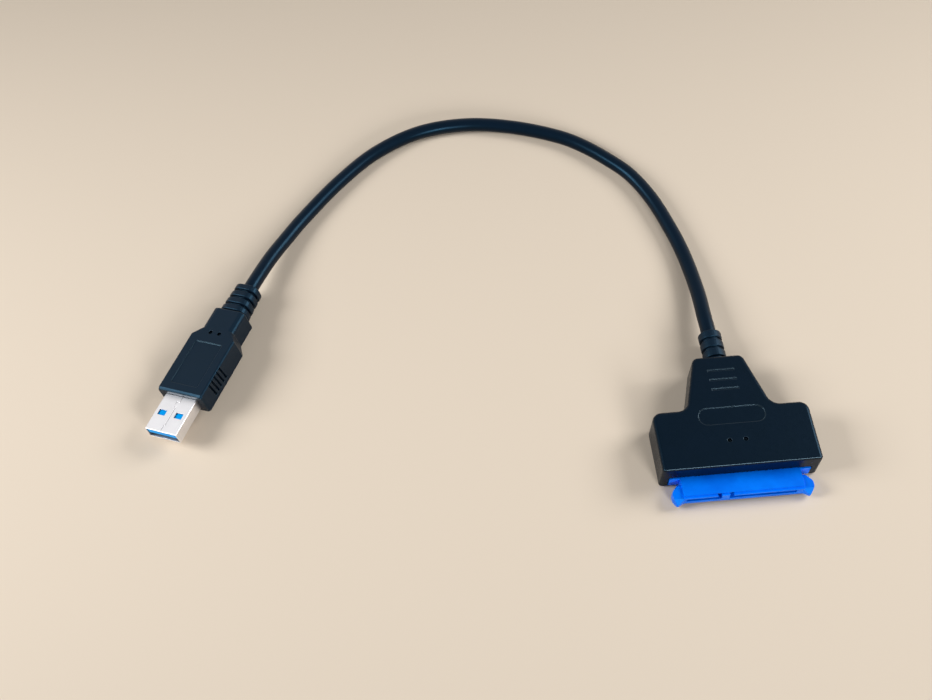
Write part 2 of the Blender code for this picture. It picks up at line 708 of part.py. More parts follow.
def add_inner_mould(material):
    inset = WALL + GAP
    bm = prism(housing_outline(inset, inset), FLOOR + GAP, CEILING - GAP)
    mould = add_object("inner_mould", finish_mesh("inner_mould", bm), material)
    wide = HOUSING_WIDTH
    root_front = RELIEF_ROOT_BACK - RELIEF_ROOT_LENGTH - GAP
    front_cut = box_mesh("mould_front", (-wide, FRONT - wide, -wide), (wide, BOARD_FRONT, wide))
    cut(mould, front_cut, "mould_front")
    back_cut = box_mesh("mould_back", (-wide, root_front, -wide), (wide, FRONT + 2 * wide, wide))
    cut(mould, back_cut, "mould_back")
    half = BOARD_WIDTH / 2 + GAP
    low_corner = (-half, BOARD_FRONT - WALL, 0)
    high_corner = (half, BOARD_BACK + GAP, BOARD_TOP + POCKET_HEIGHT)
    cut(mould, box_mesh("mould_pocket", low_corner, high_corner), "mould_pocket")
    half = 2 * WIRE_CIRCLE + 2 * WIRE_RADIUS + GAP
    reach = WIRE_CIRCLE + WIRE_RADIUS + GAP
    low_corner = (-half, BOARD_BACK - WALL, BOARD_TOP)
    high_corner = (half, root_front + WALL, CABLE_HEIGHT + reach)
    cut(mould, box_mesh("mould_channel", low_corner, high_corner), "mould_channel")


def relief_profile(length, radius, core, rings, groove):
    """(radius, y) points of a row of rings with grooves between, from y = 0 to the length."""
    ring = (length - groove * (rings - 1)) / rings
    edge = RELIEF_EDGE
    points = []
    for k in range(rings):
        start = k * (ring + groove)
        if k:
            points.append((core, start))
        points += [
            (radius - edge, start),
            (radius, start + edge),
            (radius, start + ring - edge),
            (radius - edge, start + ring),
        ]
        if k < rings - 1:
            points.append((core, start + ring))
    return points


def add_sata_relief(material):
    root = [
        (RELIEF_ROOT_RADIUS, RELIEF_ROOT_BACK - NECK_END - RELIEF_ROOT_LENGTH),
        (RELIEF_ROOT_RADIUS, RELIEF_ROOT_BACK - NECK_END),
        (RELIEF_CORE_RADIUS, RELIEF_ROOT_BACK - NECK_END),
        (RELIEF_CORE_RADIUS, RELIEF_BARE),
    ]
    length = RELIEF_LENGTH - RELIEF_BARE
    rings = relief_profile(length, RELIEF_RADIUS, RELIEF_CORE_RADIUS, RELIEF_RINGS, RELIEF_GROOVE)
    bm = turned(root + [(radius, y + RELIEF_BARE) for radius, y in rings], bore=WIRE_BORE)
    bmesh.ops.translate(bm, verts=bm.verts, vec=(CORD_OFFSET, NECK_END, CABLE_HEIGHT))
    add_object("sata_strain_relief", finish_mesh("sata_strain_relief", bm, 35), material)


def wire_ring(index):
    """Where a wire lies in the cord's cross-section, as (sideways, up)."""
    angle = math.pi / 2 + 2 * math.pi * index / len(WIRES)
    return WIRE_CIRCLE * math.cos(angle), WIRE_CIRCLE * math.sin(angle)


def add_sata_wires(materials):
    pad_pitch = 2 * WIRE_CIRCLE * 2 / (len(WIRES) - 1)
    order = sorted(range(len(WIRES)), key=lambda index: wire_ring(index)[0])
    rest = BOARD_TOP + GAP + WIRE_RADIUS
    root = RELIEF_ROOT_BACK - RELIEF_ROOT_LENGTH
    for place, index in enumerate(order):
        name, material = WIRES[index]
        side, up = wire_ring(index)
        x = CORD_OFFSET + side
        pad = pad_pitch * (place - (len(WIRES) - 1) / 2)
        route = [
            (x, RELIEF_END, CABLE_HEIGHT + up),
            (x, NECK_END, CABLE_HEIGHT + up),
            (x, root - GAP, CABLE_HEIGHT + up),
            (pad, BOARD_BACK + WIRE_FAN_REACH, CABLE_HEIGHT + 0.4 * up),
            (pad, BOARD_BACK + WIRE_LEVEL_REACH, rest + WIRE_LIFT),
            (pad, BOARD_BACK - WIRE_PAD_INSET, rest),
        ]
        path = smooth_path(route, 2.4 * MM)
        add_tube(f"sata_{name}", path, WIRE_RADIUS, materials[material], 1)


def plug_frame():
    """An empty at the shell's tip, with +Y along the plug and +Z out of its seamed side."""
    empty = bpy.data.objects.new("plug_frame", None)
    bpy.context.scene.collection.objects.link(empty)
    turn = Matrix.Rotation(PLUG_YAW, 4, "Z") @ Matrix.Rotation(PLUG_ROLL, 4, "Y")
    empty.matrix_world = Matrix.Translation((*PLUG_TIP, PLUG_HEIGHT)) @ turn
    return empty


def rounded_section(width, height, radius, y, steps=4, upper=None):
    """A rounded rectangle across the plug, at a distance y from its tip."""
    half, tall = width / 2, height / 2
    corners = [
        (half, -tall, radius, steps),
        (half, tall, upper or radius, steps),
        (-half, tall, upper or radius, steps),
        (-half, -tall, radius, steps),
    ]
    return [(x, y, z) for x, z in filleted(corners)]


def add_shell(material, frame):
    wall = SHELL_WALL
    inner_corner = SHELL_INNER_CORNER
    edge = SHELL_EDGE
    rings = [
        rounded_section(SHELL_WIDTH - 2 * edge, SHELL_HEIGHT - 2 * edge, SHELL_CORNER - edge, 0.0),
        rounded_section(SHELL_WIDTH, SHELL_HEIGHT, SHELL_CORNER, edge),
        rounded_section(SHELL_WIDTH, SHELL_HEIGHT, SHELL_CORNER, SHELL_LENGTH),
        rounded_section(SHELL_WIDTH - 2 * wall, SHELL_HEIGHT - 2 * wall, inner_corner, SHELL_LENGTH),
        rounded_section(SHELL_WIDTH - 2 * wall, SHELL_HEIGHT - 2 * wall, inner_corner, 0.0),
    ]
    mesh = finish_mesh("usb_shell", lofted(rings, closed=True), 35)
    shell = add_object("usb_shell", mesh, material, frame)
    windows = bmesh.new()
    for x in (-WINDOW_SPACING / 2, WINDOW_SPACING / 2):
        low = (x - WINDOW_WIDTH / 2, WINDOW_DISTANCE - WINDOW_LENGTH / 2, -SHELL_HEIGHT)
        high = (x + WINDOW_WIDTH / 2, WINDOW_DISTANCE + WINDOW_LENGTH / 2, SHELL_HEIGHT)
        add_box(windows, low, high)
    cut(shell, finish_mesh("shell_windows", windows), "shell_windows", frame)
    cut(shell, seam_cutter(), "shell_seam", frame)


def seam_cutter():
    """The folded sheet's joint: a fine groove with square steps, along the upper side."""
    half = SEAM_WIDTH / 2
    runs = [(end * MM, x * MM) for end, x in SEAM_RUNS]
    left = [(runs[0][1] - half, -MM)]
    right = [(runs[0][1] + half, -MM)]
    for (end, x), (_, next_x) in zip(runs, runs[1:]):
        lead = half if next_x > x else -half
        left += [(x - half, end + lead), (next_x - half, end + lead)]
        right += [(x + half, end - lead), (next_x + half, end - lead)]
    left.append((runs[-1][1] - half, runs[-1][0]))
    right.append((runs[-1][1] + half, runs[-1][0]))
    top = SHELL_HEIGHT / 2
    return finish_mesh("shell_seam", prism(right + left[::-1], top - SEAM_DEPTH, top + MM))


def add_tongue(material, frame):
    inner_half = SHELL_WIDTH / 2 - SHELL_WALL - FINE_GAP
    inner_tall = SHELL_HEIGHT / 2 - SHELL_WALL - FINE_GAP
    under = inner_tall - TONGUE_THICKNESS
    cheek = inner_half - TONGUE_CHEEK
    low = (-inner_half, TONGUE_INSET, under)
    plate = box_mesh("usb_tongue", low, (inner_half, TONGUE_LENGTH, inner_tall))
    tongue = add_object("usb_tongue", plate, material, frame)
    low = (-inner_half, TONGUE_BLOCK_START, -inner_tall)
    high = (inner_half, TONGUE_LENGTH, inner_tall)
    combine(tongue, box_mesh("tongue_block", low, high), "tongue_block", "UNION", frame)
    low = (-cheek, TONGUE_BLOCK_START - MM, under - TONGUE_TUNNEL)
    high = (cheek, TONGUE_LENGTH + MM, under)
    cut(tongue, box_mesh("tongue_tunnel", low, high), "tongue_tunnel", frame)


def add_plug_contacts(material, frame):
    under = SHELL_HEIGHT / 2 - SHELL_WALL - FINE_GAP - TONGUE_THICKNESS
    z = under - FINE_GAP - STRIP_THICKNESS / 2
    for name, x, start, width, bow in PLUG_CONTACTS:
        first = start * MM
        path = [(first, z), (PLUG_CONTACT_END, z)]
        if bow:
            drop = z - bow * MM
            path[1:1] = [(first + 0.5 * MM, drop), (first + 0.9 * MM, drop), (first + 1.4 * MM, z)]
        add_strip(name, path, width * MM, x * MM, material, frame)


def add_grip(material, frame):
    front = SHELL_EXPOSED
    wide_end = front + GRIP_LENGTH
    neck_start = wide_end + GRIP_TAPER
    edge = 2 * GRIP_END_EDGE
    stations = [
        (front, GRIP_WIDTH - 2 * GRIP_LIP_SIDE_INSET, GRIP_HEIGHT - 2 * GRIP_LIP_INSET, GRIP_CORNER),
        (front + GRIP_LIP, GRIP_WIDTH, GRIP_HEIGHT, GRIP_CORNER),
        (wide_end, GRIP_WIDTH, GRIP_HEIGHT, GRIP_CORNER),
        (neck_start, GRIP_NECK_WIDTH, GRIP_HEIGHT, GRIP_NECK_CORNER),
        (GRIP_END - GRIP_END_EDGE, GRIP_NECK_WIDTH, GRIP_HEIGHT, GRIP_NECK_CORNER),
        (GRIP_END, GRIP_NECK_WIDTH - edge, GRIP_HEIGHT - edge, GRIP_NECK_CORNER),
    ]
    rings = []
    for y, width, height, upper in stations:
        rings.append(rounded_section(width, height, GRIP_CORNER, y, upper=upper))
    mesh = finish_mesh("usb_overmould", lofted(rings), 25)
    grip = add_object("usb_overmould", mesh, material, frame)

    around = 2 * FINE_GAP
    socket = lofted([
        rounded_section(SHELL_WIDTH + around, SHELL_HEIGHT + around, SHELL_CORNER + FINE_GAP, y)
        for y in (front - MM, CORE_START)
    ])
    cut(grip, finish_mesh("grip_socket", socket), "grip_socket", frame)
    half, tall = CORE_WIDTH / 2 + GAP, CORE_HEIGHT / 2 + GAP
    low, high = (-half, CORE_START - MM, -tall), (half, CORE_END + GAP, tall)
    cut(grip, box_mesh("grip_core_space", low, high), "grip_core_space", frame)
    half, tall = PLUG_ROOT_WIDTH / 2 + GAP, PLUG_ROOT_HEIGHT / 2 + GAP
    low, high = (-half, CORE_END, -tall), (half, GRIP_END + MM, tall)
    cut(grip, box_mesh("grip_root_space", low, high), "grip_root_space", frame)
    cut(grip, grip_marks(), "grip_marks", frame)
    cut(grip, finger_grooves(), "finger_grooves", frame)


def grip_marks():
    """A plain sunk panel and two pin holes in the upper side."""
    top = GRIP_HEIGHT / 2
    start = SHELL_EXPOSED + GRIP_PANEL_START
    panel = rounded_box(GRIP_PANEL_WIDTH / 2, start, start + GRIP_PANEL_LENGTH, GRIP_PANEL_RADIUS)
    bm = prism(panel, top - MARK_DEPTH, top + MM)
    for side in (-1, 1):
        pin = turned_pin(PIN_HOLE_RADIUS, top - PIN_HOLE_DEPTH, top + MM)
        place = (side * GRIP_PIN_SPACING / 2, SHELL_EXPOSED + GRIP_PIN_DISTANCE, 0)
        bmesh.ops.translate(pin, verts=pin.verts, vec=place)
        add_mesh(bm, pin)
    return finish_mesh("grip_marks", bm)


def finger_grooves():
    """Upright grooves in both narrow sides."""
    bm = bmesh.new()
    tall = (FINGER_GROOVE_DROP - FINGER_GROOVE_TOP) / 2
    half = (FINGER_GROOVE_DEPTH, FINGER_GROOVE_WIDTH / 2, tall)
    turn = Matrix.Rotation(FINGER_GROOVE_SLANT, 4, "X")
    for side in (-1, 1):
        for k in range(FINGER_GROOVES):
            y = SHELL_EXPOSED + FINGER_GROOVE_START + k * FINGER_GROOVE_PITCH
            place = (side * GRIP_WIDTH / 2, y, GRIP_HEIGHT / 2 - FINGER_GROOVE_TOP - tall)
            verts = add_box(bm, tuple(-value for value in half), half)
            bmesh.ops.transform(bm, matrix=Matrix.Translation(place) @ turn, verts=verts)
    return finish_mesh("finger_grooves", bm)


def add_plug_core(material, frame):
    half, tall = CORE_WIDTH / 2, CORE_HEIGHT / 2
    mesh = box_mesh("usb_inner_mould", (-half, CORE_START, -tall), (half, CORE_END, tall))
    core = add_object("usb_inner_mould", mesh, material, frame)
    half, tall = CORE_CHANNEL_WIDTH / 2, CORE_CHANNEL_HEIGHT / 2
    low, high = (-half, CORE_START - MM, -tall), (half, CORE_END + MM, tall)
    cut(core, box_mesh("core_channel", low, high), "core_channel", frame)


def add_plug_relief(material, frame):
    """Flattened rings behind the grip, smaller towards the cord, on a root that sits in its end."""
    start = GRIP_END + GAP
    length = PLUG_RELIEF_LENGTH
    inset = -PLUG_RELIEF_CORE_INSET
    rings = []
    for grow, y in relief_profile(length, 0.0, inset, PLUG_RELIEF_RINGS, PLUG_RELIEF_GROOVE):
        share = y / length
        width = PLUG_RELIEF_WIDTH + (PLUG_RELIEF_END_WIDTH - PLUG_RELIEF_WIDTH) * share + 2 * grow
        height = PLUG_RELIEF_HEIGHT + (PLUG_RELIEF_END_HEIGHT - PLUG_RELIEF_HEIGHT) * share + 2 * grow
        rings.append(rounded_section(width, height, PLUG_RELIEF_ROUNDNESS * height, start + y, 6))
    mesh = finish_mesh("usb_strain_relief", lofted(rings), 35)
    relief = add_object("usb_strain_relief", mesh, material, frame)
    half, tall = PLUG_ROOT_WIDTH / 2, PLUG_ROOT_HEIGHT / 2
    low, high = (-half, GRIP_END - PLUG_ROOT_LENGTH, -tall), (half, start + MM, tall)
    combine(relief, box_mesh("plug_relief_root", low, high), "plug_relief_root", "UNION", frame)
    bore = turned(((WIRE_BORE, GRIP_END - PLUG_ROOT_LENGTH - MM), (WIRE_BORE, start + length + MM)))
    cut(relief, finish_mesh("plug_relief_bore", bore), "plug_relief_bore", frame)


def add_plug_wires(materials, frame):
    order = sorted(range(len(WIRES)), key=lambda index: wire_ring(index)[0])
    for place, index in enumerate(order):
        name, material = WIRES[index]
        side, up = wire_ring(index)
        spread = CORE_CHANNEL_WIDTH - 2 * WIRE_RADIUS - 2 * GAP
        pad = spread * (place / (len(WIRES) - 1) - 0.5)
        route = [
            (pad, PLUG_CONTACT_END + GAP, PLUG_PAD_HEIGHT),
            (pad, CORE_START + PLUG_PAD_REACH, PLUG_PAD_HEIGHT),
            (side, CORE_END - PLUG_FAN_REACH, up),
            (side, GRIP_END, up),
            (side, PLUG_RELIEF_END, up),
        ]
        path = smooth_path(route, 3.0 * MM)
        add_tube(f"plug_{name}", path, WIRE_RADIUS, materials[material], 1, frame)


def add_cord(material, frame):
    start = Vector((CORD_OFFSET, RELIEF_END + GAP, CABLE_HEIGHT))
    turn = frame.matrix_world
    end = turn @ Vector((0, PLUG_RELIEF_END + GAP, 0))
    lead_out = start + Vector((0, CORD_RADIUS, 0))
    lead_in = turn @ Vector((0, PLUG_RELIEF_END + GAP + CORD_RADIUS, 0))
    middle = [Vector(point) * MM for point in CORD_ROUTE]
    path = smooth_path([start, lead_out, *middle, lead_in, end], CORD_STEP)
    add_tube("cord", path, CORD_RADIUS, material)


def main():
    clear_scene()
    materials = {
        "housing": make_material("housing", (0.012, 0.014, 0.022), 0.3),
        "relief": make_material("relief", (0.010, 0.011, 0.016), 0.45),
        "receptacle": make_material("receptacle", (0.0, 0.16, 0.85), 0.35),
        "gold": make_material("gold", (0.83, 0.60, 0.25), 0.25, 1.0),
        "board": make_material("board", (0.02, 0.16, 0.06), 0.4),
        "chip": make_material("chip", (0.02, 0.02, 0.02), 0.5),
        "ferrite": make_material("ferrite", (0.06, 0.06, 0.06), 0.6),
        "steel": make_material("steel", (0.70, 0.70, 0.72), 0.25, 1.0),
        "ceramic": make_material("ceramic", (0.45, 0.33, 0.20), 0.4),
        "mould": make_material("mould", (0.75, 0.75, 0.72), 0.5),
        "cord": make_material("cord", (0.012, 0.013, 0.018), 0.4),
        "grip": make_material("grip", (0.015, 0.017, 0.024), 0.4),
        "tongue": make_material("tongue", (0.0, 0.18, 0.75), 0.35),
        "red": make_material("red", (0.6, 0.02, 0.02), 0.4),
        "black_wire": make_material("black_wire", (0.02, 0.02, 0.02), 0.4),
        "green": make_material("green", (0.02, 0.3, 0.08), 0.4),
        "blue_wire": make_material("blue_wire", (0.03, 0.1, 0.6), 0.4),
        "yellow": make_material("yellow", (0.7, 0.5, 0.03), 0.4),
    }
    add_housing(materials["housing"])
    add_sata_relief(materials["relief"])
    add_receptacle(materials["receptacle"])
    add_receptacle_contacts(materials["gold"])
    add_board(materials)
    add_inner_mould(materials["mould"])
    add_sata_wires(materials)
    frame = plug_frame()
    add_shell(materials["steel"], frame)
    add_tongue(materials["tongue"], frame)
    add_plug_contacts(materials["gold"], frame)
    add_grip(materials["grip"], frame)
    add_plug_core(materials["mould"], frame)
    add_plug_relief(materials["relief"], frame)
    add_plug_wires(materials, frame)
    add_cord(materials["cord"], frame)


main()
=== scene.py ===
"""USB to SATA adapter: the dressed model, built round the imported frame. Metres, +Z up."""

import json
import math

import bpy
from mathutils import Matrix, Vector


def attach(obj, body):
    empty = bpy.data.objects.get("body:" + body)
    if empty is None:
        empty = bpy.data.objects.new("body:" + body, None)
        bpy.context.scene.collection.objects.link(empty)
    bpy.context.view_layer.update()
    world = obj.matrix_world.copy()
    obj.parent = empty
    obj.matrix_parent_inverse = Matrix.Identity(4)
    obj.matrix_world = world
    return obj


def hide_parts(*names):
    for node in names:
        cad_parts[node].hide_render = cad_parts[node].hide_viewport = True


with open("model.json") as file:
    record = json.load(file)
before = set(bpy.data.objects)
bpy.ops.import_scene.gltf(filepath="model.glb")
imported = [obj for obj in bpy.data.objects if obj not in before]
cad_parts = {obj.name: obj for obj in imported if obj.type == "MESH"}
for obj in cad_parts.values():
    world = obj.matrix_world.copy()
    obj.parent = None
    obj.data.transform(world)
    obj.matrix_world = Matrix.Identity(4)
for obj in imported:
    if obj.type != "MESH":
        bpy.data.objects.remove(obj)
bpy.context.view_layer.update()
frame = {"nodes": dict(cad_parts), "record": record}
MM = 0.001

# Camera, fitted to the photograph
CAMERA_PLACE = (-99.68 * MM, -175.76 * MM, 331.45 * MM)
CAMERA_TURN = (math.radians(32.516), 0.0, math.radians(-5.360))
CAMERA_LENS = 45.35
SENSOR_WIDTH = 36.0
CAMERA_CLIP = (0.01, 20)

# Sizes shared with the frame; the route's points are in millimetres
GAP = 0.3 * MM
CABLE_HEIGHT = 5.45 * MM
CORD_OFFSET = 0.6 * MM
RELIEF_END = 29.4 * MM
CORD_RADIUS = 2.5 * MM
PLUG_TIP = (-178.1 * MM, 8.0 * MM)
PLUG_YAW = math.radians(-26.6)
PLUG_ROLL = math.radians(-13.3)
PLUG_HEIGHT = 5.95 * MM
PLUG_RELIEF_END = 59.8 * MM
CORD_ROUTE = (
    (0.5, 37.0, 5.3),
    (0.7, 46.2, 4.4),
    (0.3, 56.4, 3.3),
    (-0.8, 66.6, 2.7),
    (-2.7, 76.0, 2.55),
    (-7.3, 91.6, 2.55),
    (-13.2, 103.5, 2.55),
    (-19.9, 111.3, 2.55),
    (-27.8, 118.6, 2.55),
    (-35.5, 123.8, 2.55),
    (-52.5, 130.5, 2.55),
    (-70.5, 133.6, 2.55),
    (-88.4, 131.4, 2.55),
    (-104.9, 123.0, 2.55),
    (-118.6, 110.6, 2.55),
    (-133.1, 93.2, 2.8),
    (-139.0, 84.4, 3.5),
    (-144.3, 75.6, 4.6),
)

# The drawn cord
CORD_STEP = 1.5 * MM
CORD_BEVEL_STEPS = 6
CURVE_SPLITS = 24  # between two points of the route

# Light and floor
BACKGROUND = 0.78  # strength that the camera and reflections see
AMBIENT = 0.08  # strength that lights the scene
SEEN = ("Is Camera Ray", "Is Glossy Ray", "Is Transmission Ray")
SOFTBOX_SPREAD = math.radians(90)
SOFTBOXES = (
    # name, direction from the target, distance, size, radiance, target
    ("key_right", (0.80, 0.25, 0.62), 0.65, 0.33, 2.4, (0.0, 0.0, 0.0)),
    ("key_left", (-0.80, -0.02, 0.60), 0.6, 0.30, 3.4, (-0.17, 0.03, 0.0)),
    ("front", (0.27, -0.87, 0.42), 0.9, 0.30, 4.2, (0.0, -0.02, 0.0)),
)
FLOOR_COLOUR = (0.75, 0.645, 0.525)
FLOOR_HALF = 3
FLOOR_MIDDLE = (-0.09, 0.05, 0.0)
FADE_START = 0.30  # from the floor's middle
FADE_END = 0.60

# Looks
SOFT_EDGES = {
    "sata_housing": 0.16 * MM,
    "sata_connector_body": 0.12 * MM,
    "usb_overmould": 0.18 * MM,
    "usb_shell": 0.05 * MM,
    "usb_tongue": 0.06 * MM,
    "sata_strain_relief": 0.12 * MM,
    "usb_strain_relief": 0.12 * MM,
}
# edge materials: glossier than the faces, and their lighter colour is a painted highlight
EDGE_HIGHLIGHT_LOOKS = {
    "sata_housing": "housing_edges_painted_highlight",
    "usb_overmould": "grip_edges_painted_highlight",
}
WELD_REACH = 0.005 * MM
EDGE_SEGMENTS = 2
EDGE_ANGLE = math.radians(32)  # of the least sharp edge that is rounded
CLOUD_SIZE = 7 * MM  # of the plastics' uneven colour
GLOSS_SIZE = 1.6 * MM  # of their uneven gloss
WAVE_SIZE = 4.0 * MM  # of their uneven surface
WAVE_DEPTH = 0.012 * MM
LINE_SIZE = 0.12 * MM  # of the sheet's drawing lines, across them
LINE_STRETCH = 0.06
LINE_DEPTH = 0.002 * MM
PATCH_SIZE = 3.5 * MM
# painted shade in the metals' crevices: how far it reaches and how dark it gets
PAINTED_SHADE_REACH = 3.0 * MM
CREVICE_PAINTED_SHADE = 0.12
WORN_SHADE = 0.96
TRACK_BANDS = 260.0
TRACK_DEPTH = 0.03 * MM


def between_knots(controls, knots, t):
    """The point at t on the centripetal curve through four controls."""
    for first, width in ((0, 1), (0, 2), (1, 1)):
        spans = zip(controls, controls[1:], knots[first:], knots[first + width:])
        controls = [start.lerp(end, (t - low) / (high - low)) for start, end, low, high in spans]
    return controls[0]


def smooth_path(points, step):
    """Evenly spaced points on the smooth curve through the given ones."""
    points = [Vector(point) for point in points]
    ends = [2 * points[0] - points[1], *points, 2 * points[-1] - points[-2]]
    dense = []
    for before, start, end, after in zip(ends, ends[1:], ends[2:], ends[3:]):
        knots = [0.0]
        for first, second in ((before, start), (start, end), (end, after)):
            knots.append(knots[-1] + math.sqrt((second - first).length))
        for k in range(CURVE_SPLITS):
            t = knots[1] + (knots[2] - knots[1]) * k / CURVE_SPLITS
            dense.append(between_knots((before, start, end, after), knots, t))
    dense.append(points[-1])
    lengths = [0.0]
    for first, second in zip(dense, dense[1:]):
        lengths.append(lengths[-1] + (second - first).length)
    count = max(2, round(lengths[-1] / step))
    path = []
    place = 0
    for k in range(count + 1):
        target = lengths[-1] * k / count
        while place < len(lengths) - 2 and lengths[place + 1] < target:
            place += 1
        share = (target - lengths[place]) / (lengths[place + 1] - lengths[place])
        path.append(dense[place].lerp(dense[place + 1], min(max(share, 0.0), 1.0)))
    return path, lengths[-1]


def principled(name, colour, roughness, metallic=0.0, specular=0.5, tint=(1.0, 1.0, 1.0)):
    """A plain material, before any nodes are added to it."""
    material = bpy.data.materials.new(name)
    material.use_nodes = True
    shader = material.node_tree.nodes["Principled BSDF"]
    shader.inputs["Base Color"].default_value = (*colour, 1.0)
    shader.inputs["Roughness"].default_value = roughness
    shader.inputs["Metallic"].default_value = metallic
    shader.inputs["Specular IOR Level"].default_value = specular
    shader.inputs["Specular Tint"].default_value = (*tint, 1.0)
    return material


class Nodes:
    """Adds shader nodes to a material that has a Principled BSDF."""

    def __init__(self, material):
        self.tree = material.node_tree
        self.shader = self.tree.nodes["Principled BSDF"]

    def add(self, kind, **settings):
        node = self.tree.nodes.new(kind)
        for name, value in settings.items():
            setattr(node, name, value)
        return node

    def link(self, source, target):
        self.tree.links.new(source, target)

    def place(self, stretch=(1.0, 1.0, 1.0), turn=0.0):
        """Coordinates in metres on the object, stretched and turned about Z."""
        coords = self.add("ShaderNodeTexCoord")
        mapping = self.add("ShaderNodeMapping")
        mapping.inputs["Scale"].default_value = stretch
        mapping.inputs["Rotation"].default_value = (0.0, 0.0, turn)
        self.link(coords.outputs["Object"], mapping.inputs["Vector"])
        return mapping.outputs["Vector"]

    def noise(self, size, detail=3.0, where=None):
        """Noise whose features are about the given size."""
        node = self.add("ShaderNodeTexNoise")
        node.inputs["Scale"].default_value = 1.0 / size
        node.inputs["Detail"].default_value = detail
        self.link(where or self.place(), node.inputs["Vector"])
        return node.outputs["Fac"]

    def spread(self, value, low, high):
        """The middle of a noise, mapped from low to high."""
        node = self.add("ShaderNodeMapRange")
        node.inputs["From Min"].default_value = 0.3
        node.inputs["From Max"].default_value = 0.7
        node.inputs["To Min"].default_value = low
        node.inputs["To Max"].default_value = high
        self.link(value, node.inputs["Value"])
        return node.outputs["Result"]

    def openness(self, reach):
        """Near 0 in a crevice narrower than the reach, 1 on an open face; the mask for painted shade."""
        node = self.add("ShaderNodeAmbientOcclusion", samples=8)
        node.inputs["Distance"].default_value = reach
        return node.outputs["AO"]

    def mix(self, share, first, second):
        node = self.add("ShaderNodeMix", data_type="RGBA")
        for name, colour in (("A", first), ("B", second)):
            if isinstance(colour, tuple):
                node.inputs[name].default_value = (*colour, 1.0)
            else:
                self.link(colour, node.inputs[name])
        self.link(share, node.inputs["Factor"])
        return node.outputs["Result"]

    def bump(self, height, depth, strength=1.0, under=None):
        node = self.add("ShaderNodeBump")
        node.inputs["Distance"].default_value = depth
        node.inputs["Strength"].default_value = strength
        self.link(height, node.inputs["Height"])
        if under:
            self.link(under, node.inputs["Normal"])
        return node.outputs["Normal"]


def moulded(material, colour, roughness, grain, depth, variation=0.15):
    """Moulded plastic or rubber: slightly uneven colour and gloss over a fine grain."""
    nodes = Nodes(material)
    dark = tuple(value * (1 - variation) for value in colour)
    light = tuple(min(value * (1 + variation), 1.0) for value in colour)
    clouds = nodes.spread(nodes.noise(CLOUD_SIZE), 0.0, 1.0)
    nodes.link(nodes.mix(clouds, dark, light), nodes.shader.inputs["Base Color"])
    gloss = nodes.spread(nodes.noise(GLOSS_SIZE, 5.0), roughness - 0.02, roughness + 0.03)
    nodes.link(gloss, nodes.shader.inputs["Roughness"])
    waves = nodes.bump(nodes.noise(WAVE_SIZE, 2.0), WAVE_DEPTH, 0.4)
    nodes.link(nodes.bump(nodes.noise(grain, 2.0), depth, 0.5, waves), nodes.shader.inputs["Normal"])
    return material


def stamped(material, colour, roughness, turn):
    """Plated metal: faint drawing lines, a few cloudy patches, and painted shade that darkens its colour in
    crevices and next to other parts.
    """
    nodes = Nodes(material)
    along = nodes.place((1.0, LINE_STRETCH, 1.0), turn)
    lines = nodes.noise(LINE_SIZE, 4.0, along)
    worn = tuple(value * WORN_SHADE for value in colour)
    patches = nodes.spread(nodes.noise(PATCH_SIZE, 4.0), 0.0, 1.0)
    plate = nodes.mix(patches, worn, colour)
    # painted shade: the colour darkens where other surfaces are close by
    painted_crevice_shade = tuple(value * CREVICE_PAINTED_SHADE for value in colour)
    shaded = nodes.mix(nodes.openness(PAINTED_SHADE_REACH), painted_crevice_shade, plate)
    nodes.link(shaded, nodes.shader.inputs["Base Color"])
    nodes.link(nodes.spread(lines, roughness - 0.03, roughness + 0.05), nodes.shader.inputs["Roughness"])
    nodes.link(nodes.bump(lines, LINE_DEPTH, 0.3), nodes.shader.inputs["Normal"])
    return material


def striped_board(material, colour, track):
    """Solder mask over copper tracks, which show as slightly raised paler lines."""
    nodes = Nodes(material)
    wave = nodes.add("ShaderNodeTexWave", bands_direction="X")
    wave.inputs["Scale"].default_value = TRACK_BANDS
    wave.inputs["Distortion"].default_value = 3.0
    wave.inputs["Detail Scale"].default_value = 0.3
    nodes.link(nodes.place(), wave.inputs["Vector"])
    tracks = nodes.spread(wave.outputs["Fac"], 0.0, 1.0)
    nodes.link(nodes.mix(tracks, colour, track), nodes.shader.inputs["Base Color"])
    gloss = nodes.spread(nodes.noise(0.8 * MM), 0.28, 0.42)
    nodes.link(gloss, nodes.shader.inputs["Roughness"])
    nodes.link(nodes.bump(tracks, TRACK_DEPTH, 0.6), nodes.shader.inputs["Normal"])
    return material


PLUG_TURN = Matrix.Rotation(PLUG_YAW, 4, "Z") @ Matrix.Rotation(PLUG_ROLL, 4, "Y")
PLUG = Matrix.Translation((*PLUG_TIP, PLUG_HEIGHT)) @ PLUG_TURN


def add_camera():
    data = bpy.data.cameras.new("camera")
    data.sensor_width = SENSOR_WIDTH
    data.lens = CAMERA_LENS
    data.clip_start, data.clip_end = CAMERA_CLIP
    camera = bpy.data.objects.new("camera", data)
    camera.location = CAMERA_PLACE
    camera.rotation_euler = CAMERA_TURN
    bpy.context.scene.collection.objects.link(camera)
    bpy.context.scene.camera = camera


